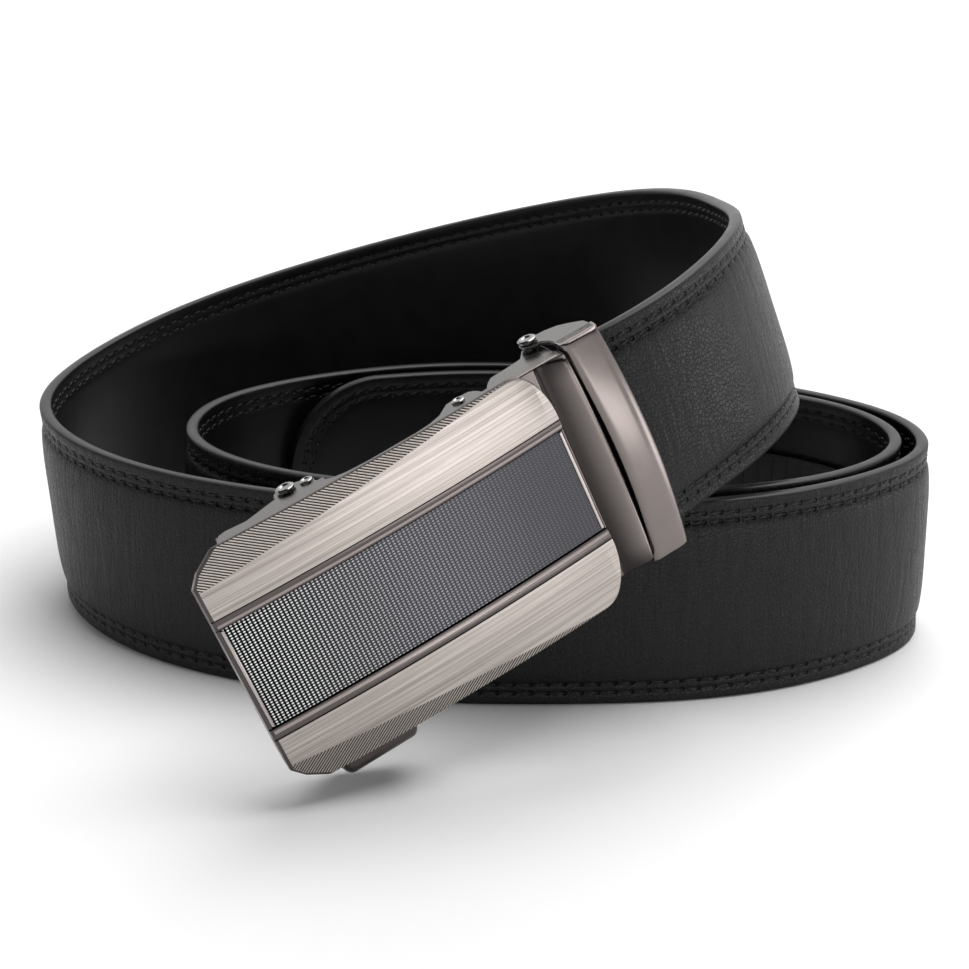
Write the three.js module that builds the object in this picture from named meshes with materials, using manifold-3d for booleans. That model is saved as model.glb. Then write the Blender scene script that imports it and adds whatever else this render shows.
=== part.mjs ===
// A coiled leather strap belt with an automatic ratchet buckle, lying on a surface.
// Millimetres, +Z up. The strap stands on its lower edge and winds inwards; the buckle hangs on its raised end.
import * as THREE from "three";
import { mergeVertices } from "three/addons/utils/BufferGeometryUtils.js";
import Module from "manifold-3d";

// Strap
const strapWidth = 35;
const strapThickness = 3; // at the padded crown
const strapEdgeThickness = 2.2; // at the painted edge
const coilWidth = 152; // centreline of the widest turn, left to right
const coilDepth = 99; // centreline, front to back
const layerGap = 1; // air between two turns that lie together
const clampedLength = 16; // cut end held inside the buckle
const fitGap = 0.3; // between pieces that sit against each other

// Ratchet track on the lining side of the free end
const trackWidth = 12;
const trackBase = 0.7;
const trackToothHeight = 0.8;
const trackToothPitch = 3;
const trackTipDistance = 46; // plain leather between the rounded tip and the first tooth
const trackLength = 108;

// Buckle, in its own frame: x along the strap, y across it, z out of the face, origin where the strap leaves
const plateInset = 10.9; // from the strap's exit to the face plate
const plateLength = 59.4;
const plateOverhang = 2.95; // face plate beyond the strap on each long side
const plateThickness = 2.4;
const plateEdge = 0.65; // upright part of its edge
const faceHeight = 8.5; // the face's crown above the strap's middle plane
const faceBow = 1.5; // the crown above the plate's two ends
const wedgeSlope = 0.2; // fall of the hatched facets per mm of width
const inlayWidth = 17.9;
const inlayThickness = 0.6;
const inlayStep = 0.2; // inlay below the rails' lower edge
const inlayEndMargin = 0.6;
const railWidth = 1.7;
const railDrop = 0.5;
const casingThickness = 2; // casting behind the face plate
const casingInset = 1.5; // its long sides inside the plate's
const casingEndInset = 0.5; // its left end inside the plate's
const wallThickness = 0.9;
const wallClearance = 0.25; // strap's edge to the casting's walls
const wallDepth = 1.4; // walls below the casting's crown between the ears
const wallInset = 6.5; // walls' start from the plate's left end
const neckEnd = 5.6; // from the strap's exit to the neck's right edge
const neckHeight = 4.4; // neck's rounded bar above the strap's face
const neckTuck = 0.9; // neck's ends inside the clamp's arms
const pinRadius = 0.8;
const pinHeadRadius = 1.5;
const pinHeadThickness = 0.5;
const boreClearance = 0.25;
const earRadius = 2.1;

// Clamp at the strap's exit
const barGap = 0.4; // from the neck to the bar
const barWidth = 6; // at its ends
const barRound = 1.1; // its long edges
const barBow = 0.9; // the bar's left edge and the neck's right one bulge in the middle
const barBulge = 0.6; // the bar's right edge bulges
const barArch = 2.2; // rise of the middle over the ends
const barEndHeight = 4.6; // top of the bar's ends above the strap's middle plane
const armThickness = 0.7;
const jawPinInset = 7.6;
const jawBarrelWall = 0.6; // round the pin's bore
const jawThickness = 0.9;
const jawToothHeight = 0.9;
const jawToothPitch = 2;
const jawMargin = 1.5; // strap's edge to the jaw's end

// Release lever behind the casting
const leverPinInset = 50.6;
const leverPinDepth = 2.9;
const leverPlateThickness = 1.1;
const leverReach = 6; // pawl ahead of the pin
const leverTail = 12.4; // plate behind the pin
const leverBarrel = 1.7;
const leverClearance = 0.5; // to the casting's walls
const leverArmWidth = 5.4;
const pawlHeight = 1.5;
const tabLength = 13.2;
const tabWidth = 3.6;
const tabHeight = 6.3; // above the lever's plate
const tabInset = 49.6;

// The strap's route from its cut end to its tip, a row for each section: share of half the coil's width,
// share of half its depth, layers lying outside it, lower edge's height as a share of the strap's width,
// lean of the top edge towards the coil in degrees.
const routeSections = [
  // x, y, inset, lift, lean
  [0.1214, -1.2705, 0, 0.7284, 3.7],
  [0.2987, -1.1515, 0, 0.9086, 3.7],
  [0.4974, -0.899, 0, 1.0829, 10.5],
  [0.6197, -0.4889, 0, 1.1543, 18],
  [0.625, -0.0081, 0, 1.0971, 19.3],
  [0.5487, 0.3879, 0, 1.0229, 14.2],
  [0.3776, 0.7556, 0, 0.8857, 7.2],
  [0.0487, 0.9919, 0, 0.6714, 0.7],
  [-0.3487, 0.9879, 0, 0.4457, -4.1],
  [-0.7053, 0.7636, 0, 0.2514, -7.4],
  [-0.925, 0.4, 0, 0.1229, -7],
  [-1, -0.0263, 0, 0.0514, -5],
  [-0.8553, -0.4747, 0, 0.0114, -1.8],
  [-0.5539, -0.8, 0, 0, 0],
  [-0.1592, -0.9778, 0, 0, 0],
  [0.2289, -1.002, 0, 0, 0],
  [0.5724, -0.9273, 0, 0, 0],
  [0.8513, -0.7071, 0, 0, 0],
  [0.9974, -0.4101, 0, 0, 0],
  [0.9803, -0.1354, 0, 0, 0],
  [0.8671, 0.0929, 0, 0, 0],
  [0.6092, 0.3455, 0, 0, 0],
  [0.2539, 0.5071, 0, 0, 0],
  [-0.0868, 0.5394, 0, 0, 0],
  [-0.4066, 0.3798, 0, 0, 0],
  [-0.6276, 0.0667, 0, 0, 0],
  [-0.6539, -0.2848, 0, 0, 0],
  [-0.517, -0.6123, 0.25, 0, 0],
  [-0.1641, -0.8746, 0.7, 0, 0],
  [0.2556, -0.9535, 1, 0, 0],
  [0.6243, -0.8809, 1, 0, 0],
  [0.8827, -0.6681, 1, 0, 0],
  [0.9945, -0.3748, 1, 0, 0],
  [0.9578, -0.0898, 1, 0, 0],
  [0.7982, 0.16, 1, 0, 0],
  [0.4609, 0.3796, 1, 0, 0],
  [-0.0482, 0.5184, 1, 0, 0],
  [-0.5066, 0.287, 0.8, 0, 0],
];

// The strap's section, a row for each corner of its grain side: share of half the width, share of half the
// thickness between the edge's and the crown's.
const strapSection = [
  // across, crown
  [1, -0.6],
  [0.972, 0],
  [0.66, 1],
  [-0.66, 1],
  [-0.972, 0],
  [-1, -0.6],
];

// Outline of the face plate from its left end: share of its length, share of the way from the rail's outer edge
// to the plate's long side.
const plateSections = [
  // run, flank
  [0, 0.568],
  [0.03, 0.789],
  [0.083, 1],
  [0.2, 1],
  [0.35, 1],
  [0.5, 1],
  [0.65, 1],
  [0.8, 1],
  [0.911, 1],
  [0.959, 0.812],
  [0.986, 0.505],
  [1, 0.056],
];
const wedgeStart = 0.482; // where the hatched facets begin at the left end, by the same share

const wasm = await Module();
wasm.setup();

const material = (name, color, roughness, metalness) =>
  new THREE.MeshStandardMaterial({ name, color, roughness, metalness });
const leather = material("leather", 0x121214, 0.5, 0);
const trackPlastic = material("track", 0x0d0d0f, 0.4, 0);
const champagne = material("brushed", 0xb5aaa1, 0.35, 1);
const wovenMetal = material("woven", 0x3c3f4a, 0.4, 0.9);
const gunmetal = material("gunmetal", 0x5c5552, 0.3, 1);
const steel = material("steel", 0xb9bcbd, 0.2, 1);

// Solids

function closed(positions, index) {
  const g = new THREE.BufferGeometry();
  g.setAttribute("position", new THREE.Float32BufferAttribute(positions, 3));
  g.setIndex(index);
  return g;
}

// A closed body through rings of equal length. flat gives a ring's outline in its own plane, for the two caps.
function loft(rings, flat) {
  const n = rings[0].length;
  const positions = rings.flat().flatMap((p) => [p.x, p.y, p.z]);
  const index = [];
  for (let r = 0; r + 1 < rings.length; r++)
    for (let i = 0; i < n; i++) {
      const a = r * n + i,
        b = r * n + ((i + 1) % n);
      index.push(a, b, b + n, a, b + n, a + n);
    }
  const caps = (ring, offset, turned) => {
    for (const [a, b, c] of THREE.ShapeUtils.triangulateShape(flat(ring), []))
      index.push(
        ...(turned
          ? [offset + c, offset + b, offset + a]
          : [offset + a, offset + b, offset + c]),
      );
  };
  const area = THREE.ShapeUtils.area(flat(0));
  caps(0, 0, area > 0);
  caps(rings.length - 1, (rings.length - 1) * n, area < 0);
  return facingOut(closed(positions, index));
}

function facingOut(g) {
  const p = g.attributes.position,
    ix = g.index.array;
  const a = new THREE.Vector3(),
    b = new THREE.Vector3(),
    c = new THREE.Vector3();
  let volume = 0;
  for (let i = 0; i < ix.length; i += 3) {
    a.fromBufferAttribute(p, ix[i]);
    b.fromBufferAttribute(p, ix[i + 1]);
    c.fromBufferAttribute(p, ix[i + 2]);
    volume += a.dot(b.cross(c));
  }
  if (volume < 0)
    for (let i = 0; i < ix.length; i += 3)
      [ix[i + 1], ix[i + 2]] = [ix[i + 2], ix[i + 1]];
  return g;
}

function solid(geometry) {
  const g = geometry.clone();
  g.deleteAttribute("normal");
  g.deleteAttribute("uv");
  const m = mergeVertices(g, 1e-4);
  return new wasm.Manifold(
    new wasm.Mesh({
      numProp: 3,
      vertProperties: new Float32Array(m.attributes.position.array),
      triVerts: new Uint32Array(m.index.array),
    }),
  );
}

function geometryOf(made) {
  const m = made.getMesh();
  return closed(Array.from(m.vertProperties), Array.from(m.triVerts));
}

const union = (...pieces) => pieces.map(solid).reduce((a, b) => a.add(b));
const minus = (made, ...pieces) =>
  pieces.map(solid).reduce((a, b) => a.subtract(b), made);

// A box by its limits along x, y and z.
function block([x0, x1], [y0, y1], [z0, z1]) {
  return new THREE.BoxGeometry(x1 - x0, y1 - y0, z1 - z0).translate(
    (x0 + x1) / 2,
    (y0 + y1) / 2,
    (z0 + z1) / 2,
  );
}

// A shape drawn in x and z, made solid between two y values.
function slab(points, y0, y1) {
  const shape = new THREE.Shape(points.map(([x, z]) => new THREE.Vector2(x, z)));
  return new THREE.ExtrudeGeometry(shape, {
    depth: y1 - y0,
    bevelEnabled: false,
    curveSegments: 8,
  })
    .rotateX(Math.PI / 2)
    .translate(0, y1, 0);
}

// A round bar along y at x, z.
function rod(x, z, radius, y0, y1, sides = 20) {
  return new THREE.CylinderGeometry(radius, radius, y1 - y0, sides).translate(
    x,
    (y0 + y1) / 2,
    z,
  );
}

// Points of an arc in x and z, by angles in degrees.
const arc = (x, z, r, from, to, steps) =>
  Array.from({ length: steps + 1 }, (_, i) => {
    const t = THREE.MathUtils.degToRad(from + ((to - from) * i) / steps);
    return [x + r * Math.cos(t), z + r * Math.sin(t)];
  });

// The strap's route

// A cubic spline through values at rising positions, with a given slope at its start.
function splineThrough(at, values, slope) {
  const n = at.length;
  const bend = new Array(n).fill(0),
    low = new Array(n).fill(0);
  const first = at[1] - at[0];
  bend[0] = (3 / first) * ((values[1] - values[0]) / first - slope);
  low[0] = 0.5;
  for (let i = 1; i < n - 1; i++) {
    const h0 = at[i] - at[i - 1],
      h1 = at[i + 1] - at[i];
    const pivot = 2 * (h0 + h1) - h0 * low[i - 1];
    low[i] = h1 / pivot;
    bend[i] =
      (6 *
        ((values[i + 1] - values[i]) / h1 - (values[i] - values[i - 1]) / h0) -
        h0 * bend[i - 1]) /
      pivot;
  }
  for (let i = n - 2; i >= 0; i--) bend[i] -= low[i] * bend[i + 1];
  return (u) => {
    let i = 0;
    while (i < n - 2 && u > at[i + 1]) i++;
    const h = at[i + 1] - at[i],
      a = (at[i + 1] - u) / h,
      b = 1 - a;
    return (
      a * values[i] +
      b * values[i + 1] +
      (((a ** 3 - a) * bend[i] + (b ** 3 - b) * bend[i + 1]) * h * h) / 6
    );
  };
}

const layerPitch = strapThickness + layerGap;
const stations = routeSections.map(([x, y, inset, lift, lean]) => {
  const p = new THREE.Vector2((x * coilWidth) / 2, (y * coilDepth) / 2);
  p.addScaledVector(p.clone().normalize(), -inset * layerPitch);
  return { x: p.x, y: p.y, lift: lift * strapWidth, lean };
});
const across = (i) =>
  Math.hypot(
    stations[i].x - stations[i - 1].x,
    stations[i].y - stations[i - 1].y,
  );
// The first two rows give the direction in which the strap leaves the buckle.
const stationAt = [0];
for (let i = 2; i < stations.length; i++)
  stationAt.push(stationAt[i - 2] + across(i));
const column = (key) =>
  splineThrough(
    stationAt,
    stations.slice(1).map((s) => s[key]),
    (stations[1][key] - stations[0][key]) / across(1),
  );
// A column that has come down to zero for good stays there.
const settling = (key) => {
  const through = column(key);
  const rows = stations.slice(1);
  const settled = rows.findIndex((_, i) => rows.slice(i).every((s) => s[key] === 0));
  return (u) => (u >= stationAt[settled] ? 0 : through(u));
};
const routeX = column("x"),
  routeY = column("y"),
  routeLift = settling("lift"),
  routeLean = settling("lean");
const centre = (u) =>
  new THREE.Vector3(routeX(u), routeY(u), Math.max(0, routeLift(u)) + strapWidth / 2);

// Position, direction, width direction and outward direction of the strap at u.
function strapFrame(u) {
  const h = strapThickness / 150;
  const along = centre(u + h)
    .sub(centre(u - h))
    .normalize();
  const side = new THREE.Vector3(along.y, -along.x, 0).normalize();
  const up = new THREE.Vector3().crossVectors(side, along);
  const lean = THREE.MathUtils.degToRad(routeLean(u));
  const width = up
    .clone()
    .multiplyScalar(Math.cos(lean))
    .addScaledVector(side, -Math.sin(lean));
  const outward = new THREE.Vector3().crossVectors(along, width);
  return { centre: centre(u), along, width, outward };
}

// Lengths along the strap count from its exit out of the buckle; the clamped end lies straight behind it.
const routeEnd = stationAt[stationAt.length - 1];
const exit = strapFrame(0);
const fine = strapThickness / 12;
const runs = [0],
  fineU = [0];
for (let u = fine; u <= routeEnd; u += fine) {
  runs.push(runs[runs.length - 1] + centre(u).distanceTo(centre(u - fine)));
  fineU.push(u);
}
const strapLength = runs[runs.length - 1];
// The strap's frame at a length along it.
function frameAt(s) {
  if (s <= 0) return { ...exit, centre: exit.centre.clone().addScaledVector(exit.along, s) };
  let i = 1;
  while (i < runs.length - 1 && runs[i] < s) i++;
  const t = (s - runs[i - 1]) / (runs[i] - runs[i - 1]);
  return strapFrame(fineU[i - 1] + t * fine);
}

// Lengths along the strap where a section is needed: closer where it turns more.
function sectionsBetween(from, to, turn, longest) {
  const out = [from];
  let last = frameAt(from).along,
    lastS = from;
  const step = strapThickness / 6;
  for (let s = from + step; s < to; s += step) {
    const along = frameAt(s).along;
    if (along.angleTo(last) > turn || s - lastS > longest) {
      if (to - s < 1.2 * step) break;
      out.push(s);
      last = along;
      lastS = s;
    }
  }
  out.push(to);
  return out;
}

function strapRing(s, halfWidth) {
  const f = frameAt(s);
  const edge = strapEdgeThickness / 2,
    crown = strapThickness / 2;
  const half = (k) => (k < 0 ? edge * (1 + k) : edge + (crown - edge) * k);
  const grain = strapSection.map(([a, k]) => [a * halfWidth, half(k)]);
  const lining = grain.map(([a, t]) => [a, -t]).reverse();
  return [...grain, ...lining].map(([a, t]) =>
    f.centre.clone().addScaledVector(f.width, a).addScaledVector(f.outward, t),
  );
}

const tipRadius = strapWidth / 2;
const tipSteps = 9;
function makeStrap() {
  const whole = strapWidth / 2;
  const rings = [
    strapRing(-clampedLength, whole),
    ...sectionsBetween(0, strapLength - tipRadius, 0.1, strapWidth / 4).map((s) =>
      strapRing(s, whole),
    ),
  ];
  for (let i = 1; i < tipSteps; i++) {
    const t = (i / tipSteps) * (Math.PI / 2);
    rings.push(
      strapRing(
        strapLength - tipRadius + tipRadius * Math.sin(t),
        tipRadius * Math.cos(t),
      ),
    );
  }
  const section = strapSection.map(([a, k]) => [a, k < 0 ? 1 + k : 1 + 0.3 * k]);
  const outline = [...section, ...section.map(([a, t]) => [a, -t]).reverse()];
  return loft(rings, () => outline.map(([a, t]) => new THREE.Vector2(a, t)));
}

function makeTrack() {
  const back = -(strapThickness / 2 + fitGap);
  const end = strapLength - trackTipDistance,
    start = end - trackLength;
  const teeth = Math.round(trackLength / trackToothPitch);
  const rings = [];
  const ring = (s, height) => {
    const f = frameAt(s);
    return [
      [-0.5, 0],
      [0.5, 0],
      [0.5, -height],
      [-0.5, -height],
    ].map(([a, t]) =>
      f.centre
        .clone()
        .addScaledVector(f.width, a * trackWidth)
        .addScaledVector(f.outward, back + t),
    );
  };
  for (let i = 0; i < teeth; i++) {
    const s = start + i * trackToothPitch;
    rings.push(ring(s, trackBase));
    rings.push(ring(s + 0.85 * trackToothPitch, trackBase + trackToothHeight));
  }
  rings.push(ring(start + teeth * trackToothPitch, trackBase));
  const corners = [
    [0, 0],
    [1, 0],
    [1, 1],
    [0, 1],
  ].map(([a, b]) => new THREE.Vector2(a, b));
  return loft(rings, () => corners);
}

// The buckle

const halfPlate = strapWidth / 2 + plateOverhang;
const plateLeft = -(plateInset + plateLength);
const endHeight = faceHeight - faceBow;
const plateBack = endHeight - plateThickness;
const casingFront = plateBack - fitGap;
const casingBack = casingFront - casingThickness;
const wallInner = strapWidth / 2 + wallClearance;
const wallOuter = wallInner + wallThickness;
const jawBarrel = pinRadius + boreClearance + jawBarrelWall;
const jawPinDepth = strapThickness / 2 + fitGap + jawBarrel;
const armInner = wallOuter + fitGap;
const armOuter = armInner + armThickness;
const neckHalf = armOuter - neckTuck;
const halfInlay = inlayWidth / 2;
const railOuter = halfInlay + railWidth;
const inlayFloor = endHeight - railDrop - inlayStep - inlayThickness - fitGap;
const flank = halfPlate - railOuter;
const barLeft = -neckEnd + barGap;

// The bar's arch over its ends, as a share by y.
const dome = (y) => 1 - (y / armOuter) ** 2;
const barSteps = 12;

// Rise of the bowed plate and what lies behind it, over its two ends.
const bow = (x) =>
  faceBow * Math.max(0, 1 - ((x - plateLeft - plateLength / 2) / (plateLength / 2)) ** 2);
const plateRows = plateSections.map(([run, share]) => ({
  x: plateLeft + run * plateLength,
  half: railOuter + share * flank,
}));

// A bowed board through the given x values: half its width at x, its lower and its upper height at the ends.
function board(places, halfAt, low, high) {
  const rings = places.map((x) =>
    [
      [halfAt(x), low],
      [halfAt(x), high],
      [-halfAt(x), high],
      [-halfAt(x), low],
    ].map(([y, z]) => new THREE.Vector3(x, y, z + bow(x))),
  );
  return loft(rings, (r) => rings[r].map((p) => new THREE.Vector2(p.y, p.z)));
}

function inlayBoard(margin, low, high) {
  const left = plateLeft + inlayEndMargin + margin,
    right = -plateInset - inlayEndMargin / 2 - margin;
  const between = plateRows.map(({ x }) => x).filter((x) => x > left && x < right);
  return board([left, ...between, right], () => halfInlay - margin, low, high);
}

function makeFacePlate() {
  const wedgeEnd = plateSections.findLast(([, share]) => share === 1)[0];
  const rings = plateSections.map(([run, share], i) => {
    const { x, half } = plateRows[i];
    const wedge = wedgeStart + ((1 - wedgeStart) * run) / wedgeEnd;
    const ridge = railOuter + Math.min(wedge, 0.98 * share) * flank;
    const edge = endHeight - (half - ridge) * wedgeSlope;
    const side = [
      [half - casingInset / 2, plateBack],
      [half, edge - plateEdge],
      [half, edge],
      [ridge, endHeight],
      [railOuter, endHeight],
      [halfInlay, endHeight - railDrop],
    ];
    return [...side, ...side.map(([y, z]) => [-y, z]).reverse()].map(
      ([y, z]) => new THREE.Vector3(x, y, z + bow(x)),
    );
  });
  const plate = loft(rings, (r) =>
    rings[r].map((p) => new THREE.Vector2(p.y, p.z)),
  );
  return geometryOf(minus(solid(plate), inlayBoard(0, inlayFloor, faceHeight)));
}

function makeInlay() {
  const low = inlayFloor + fitGap;
  return inlayBoard(fitGap, low, low + inlayThickness);
}

// The casing's half width by x: the face plate's less its inset, then the neck's.
function casingRows() {
  const rows = plateRows
    .filter((_, i) => plateSections[i][0] < 0.95)
    .map(({ x, half }) => [x, half - casingInset]);
  rows[0][0] += casingEndInset;
  rows.push(
    [-plateInset - 1.3 * neckTuck, (halfPlate - casingInset + neckHalf) / 2],
    [-plateInset + 0.7 * neckTuck, neckHalf],
    [-neckEnd - neckTuck, neckHalf],
    [-neckEnd, neckHalf - neckTuck],
  );
  return rows;
}

function makeCasing() {
  const rows = new Map(casingRows());
  const base = board([...rows.keys()], (x) => rows.get(x), casingBack, casingFront);
  const neckTop = strapThickness / 2 + neckHeight;
  const neckFoot = strapThickness / 2 + 2 * fitGap;
  const rise = neckTop - casingFront;
  const neckLeft = -plateInset + fitGap;
  const neckReach = neckHalf - neckTuck / 1.5;
  const neckRings = [];
  for (let i = 0; i <= barSteps; i++) {
    const y = neckReach * (-1 + (2 * i) / barSteps);
    const run = -neckEnd + barBow * dome(y) - neckLeft;
    neckRings.push(
      [
        [-casingThickness / run, casingBack],
        [-casingThickness / run, casingFront],
        [0, casingFront],
        [0.13, casingFront - 0.2 * rise],
        [0.27, casingFront],
        [0.42, neckTop - 0.3 * rise],
        [0.6, neckTop],
        [0.8, neckTop - 0.1 * rise],
        [0.94, neckTop - 0.45 * rise],
        [1, neckTop - 0.9 * rise],
        [1, neckFoot],
        [0.7, neckFoot],
      ].map(([share, z]) => new THREE.Vector3(neckLeft + share * run, y, z)),
    );
  }
  const neck = loft(neckRings, (r) =>
    neckRings[r].map((p) => new THREE.Vector2(p.x, p.z)),
  );
  const wallFoot = casingBack + faceBow - wallDepth,
    wallTop = casingBack + casingThickness / 2;
  const wallLeft = plateLeft + wallInset,
    wallRight = -jawPinInset + pinHeadRadius;
  const jawX = -jawPinInset,
    leverX = -leverPinInset;
  const outline = [
    [wallLeft, wallTop],
    [wallLeft, wallFoot],
    ...arc(leverX, -leverPinDepth, earRadius, 180, 360, 8),
    [leverX + 2.4 * earRadius, wallFoot],
    [jawX - 5 * earRadius, wallFoot],
    [jawX - 3 * earRadius, wallFoot - 0.75 * wallDepth],
    ...arc(jawX, -jawPinDepth, pinHeadRadius, 225, 360, 6),
    [wallRight, wallTop],
    ...plateRows
      .filter(({ x }) => x > wallLeft && x < wallRight)
      .map(({ x }) => [x, wallTop + bow(x)])
      .reverse(),
  ];
  outline[0][1] += bow(wallLeft);
  const walls = [
    slab(outline, wallInner, wallOuter),
    slab(outline, -wallOuter, -wallInner),
  ];
  const hole = pinRadius + boreClearance;
  const across = 1.1 * wallOuter;
  return geometryOf(
    minus(
      union(base, neck, ...walls),
      rod(leverX, -leverPinDepth, hole, -across, across),
      rod(jawX, -jawPinDepth, hole, -across, across),
    ),
  );
}

// A headed pin across the buckle, its heads outside the faces at plus and minus seat.
function makePin(inset, depth, seat) {
  const head = seat + fitGap + pinHeadThickness;
  return geometryOf(
    union(
      rod(-inset, -depth, pinRadius, -seat - fitGap, seat + fitGap),
      rod(-inset, -depth, pinHeadRadius, seat + fitGap, head),
      rod(-inset, -depth, pinHeadRadius, -head, -seat - fitGap),
    ),
  );
}

// The arched bar over the strap and the two arms that carry it back to the jaw's pin.
function makeClampLoop() {
  const left = barLeft;
  const under = strapThickness / 2 + fitGap;
  const rings = [];
  for (let i = 0; i <= barSteps; i++) {
    const y = armOuter * (-1 + (2 * i) / barSteps);
    const start = left + barBow * dome(y);
    const right = left + barWidth + barBulge * dome(y);
    const top = barEndHeight + barArch * dome(y);
    rings.push(
      [
        [start, under],
        [right, under],
        [right, top - barRound],
        [right - 0.4 * barRound, top - 0.4 * barRound],
        [right - 1.1 * barRound, top],
        [start + 0.65 * barRound, top],
        [start + 0.2 * barRound, top - 0.25 * barRound],
        [start, top - 0.7 * barRound],
      ].map(([x, z]) => new THREE.Vector3(x, y, z)),
    );
  }
  const bar = loft(rings, (r) => rings[r].map((p) => new THREE.Vector2(p.x, p.z)));
  const jawX = -jawPinInset,
    jawZ = -jawPinDepth,
    r = pinHeadRadius;
  const leaf = [
    ...arc(jawX, jawZ, r, 110, 270, 6),
    [left + 0.44 * barWidth, jawZ - 0.6 * r],
    [left + 0.92 * barWidth, jawZ + 0.9 * r],
    [left + 0.96 * barWidth, 0.8 * barEndHeight],
    [left + 0.04 * barWidth, 0.8 * barEndHeight],
    [left - 0.04 * barWidth, jawZ + 1.4 * r],
  ];
  const hole = pinRadius + boreClearance;
  const across = 1.1 * armOuter;
  return geometryOf(
    minus(
      union(bar, slab(leaf, armInner, armOuter), slab(leaf, -armOuter, -armInner)),
      rod(jawX, jawZ, hole, -across, across),
    ),
  );
}

// The toothed flap that bites the strap's lining against the bar.
function makeClampJaw() {
  const jawX = -jawPinInset,
    jawZ = -jawPinDepth;
  const half = strapWidth / 2 - jawMargin;
  const biteTop = -(strapThickness / 2 + fitGap);
  const plateTop = biteTop - jawToothHeight;
  const right = barLeft + 0.8 * barWidth;
  const points = [
    [jawX, plateTop - jawThickness],
    [right, plateTop - jawThickness],
    [right, plateTop],
  ];
  const teeth = Math.floor((right - jawX - jawBarrel) / jawToothPitch);
  for (let i = 0; i < teeth; i++) {
    const x = right - i * jawToothPitch;
    points.push([x - jawToothPitch / 4, biteTop], [x - jawToothPitch / 2, plateTop]);
  }
  points.push([jawX, plateTop]);
  const hole = pinRadius + boreClearance;
  return geometryOf(
    minus(
      union(slab(points, -half, half), rod(jawX, jawZ, jawBarrel, -half, half)),
      rod(jawX, jawZ, hole, -1.1 * half, 1.1 * half),
    ),
  );
}

// The sprung pawl with its thumb tab beyond the plate's lower long side.
function makeReleaseLever() {
  const px = -leverPinInset,
    pz = -leverPinDepth;
  const half = wallInner - leverClearance;
  const back = pz - leverPlateThickness;
  const body = slab(
    [
      [px - leverTail, back],
      [px + leverReach, back],
      [px + leverReach, pz + pawlHeight],
      [px + 0.88 * leverReach, pz + pawlHeight],
      [px + 0.78 * leverReach, pz],
      [px - leverTail, pz],
    ],
    -half,
    half,
  );
  const barrel = rod(px, pz, leverBarrel, -half, half);
  const tabInner = halfPlate + fitGap,
    tabOuter = tabInner + tabWidth;
  const arm = block(
    [px - leverTail, px - leverTail + leverArmWidth],
    [-tabInner - tabWidth / 3, -half + tabWidth / 3],
    [back, pz],
  );
  const x1 = -tabInset,
    x0 = x1 - tabLength;
  const top = pz + tabHeight;
  const c = tabWidth / 3;
  const profile = (x, g) =>
    [
      [tabInner, back + g],
      [tabOuter - c - g, back + g],
      [tabOuter - g, back + c + g],
      [tabOuter - g, top - c - g],
      [tabOuter - c - g, top - g],
      [tabInner, top - g],
    ].map(([y, z]) => new THREE.Vector3(x, -y, z));
  const rings = [
    profile(x0, c),
    profile(x0 + tabWidth / 2, 0),
    profile(x1 - tabWidth / 2, 0),
    profile(x1, c),
  ];
  const tab = loft(rings, (r) => rings[r].map((p) => new THREE.Vector2(p.y, p.z)));
  return geometryOf(
    minus(
      union(body, barrel, arm, tab),
      rod(px, pz, pinRadius + boreClearance, -1.1 * half, 1.1 * half),
    ),
  );
}

const mesh = (name, geometry, look) => {
  const flatShaded = geometry.index ? geometry.toNonIndexed() : geometry;
  flatShaded.computeVertexNormals();
  const m = new THREE.Mesh(flatShaded, look);
  m.name = name;
  return m;
};

const belt = new THREE.Group();
belt.add(
  mesh("strap", makeStrap(), leather),
  mesh("ratchet_track", makeTrack(), trackPlastic),
);

const buckle = new THREE.Group();
buckle.matrixAutoUpdate = false;
buckle.matrix.makeBasis(exit.along, exit.width, exit.outward).setPosition(exit.centre);
buckle.add(
  mesh("face_plate", makeFacePlate(), champagne),
  mesh("face_inlay", makeInlay(), wovenMetal),
  mesh("casing", makeCasing(), gunmetal),
  mesh("clamp_loop", makeClampLoop(), gunmetal),
  mesh("clamp_jaw", makeClampJaw(), steel),
  mesh("jaw_pin", makePin(jawPinInset, jawPinDepth, armOuter), steel),
  mesh("release_lever", makeReleaseLever(), gunmetal),
  mesh("lever_pin", makePin(leverPinInset, leverPinDepth, wallOuter), steel),
);
belt.add(buckle);

// The origin is under the middle of the whole belt, on the surface.
belt.updateMatrixWorld(true);
const box = new THREE.Box3().setFromObject(belt, true);
belt.position.set(
  -(box.min.x + box.max.x) / 2,
  -(box.min.y + box.max.y) / 2,
  -box.min.z,
);

export default belt;
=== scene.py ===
import math
import bpy
import numpy as np
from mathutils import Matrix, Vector


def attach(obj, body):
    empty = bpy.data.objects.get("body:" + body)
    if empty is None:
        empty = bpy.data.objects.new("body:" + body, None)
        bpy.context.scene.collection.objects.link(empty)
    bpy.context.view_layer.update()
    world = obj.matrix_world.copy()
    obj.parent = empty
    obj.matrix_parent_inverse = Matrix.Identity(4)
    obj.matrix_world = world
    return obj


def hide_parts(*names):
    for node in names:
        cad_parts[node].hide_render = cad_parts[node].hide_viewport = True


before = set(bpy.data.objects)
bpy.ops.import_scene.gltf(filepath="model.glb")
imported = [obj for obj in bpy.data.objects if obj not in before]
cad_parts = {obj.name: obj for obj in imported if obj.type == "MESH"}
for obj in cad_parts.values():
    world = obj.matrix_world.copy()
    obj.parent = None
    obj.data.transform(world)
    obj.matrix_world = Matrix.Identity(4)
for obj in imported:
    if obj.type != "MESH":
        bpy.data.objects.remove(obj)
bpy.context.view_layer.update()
print("frame loaded:", ", ".join(sorted(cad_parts)))

mm = 0.001
bevelAngle = 30  # degrees, flatter edges keep their shape


# Mesh making

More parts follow.
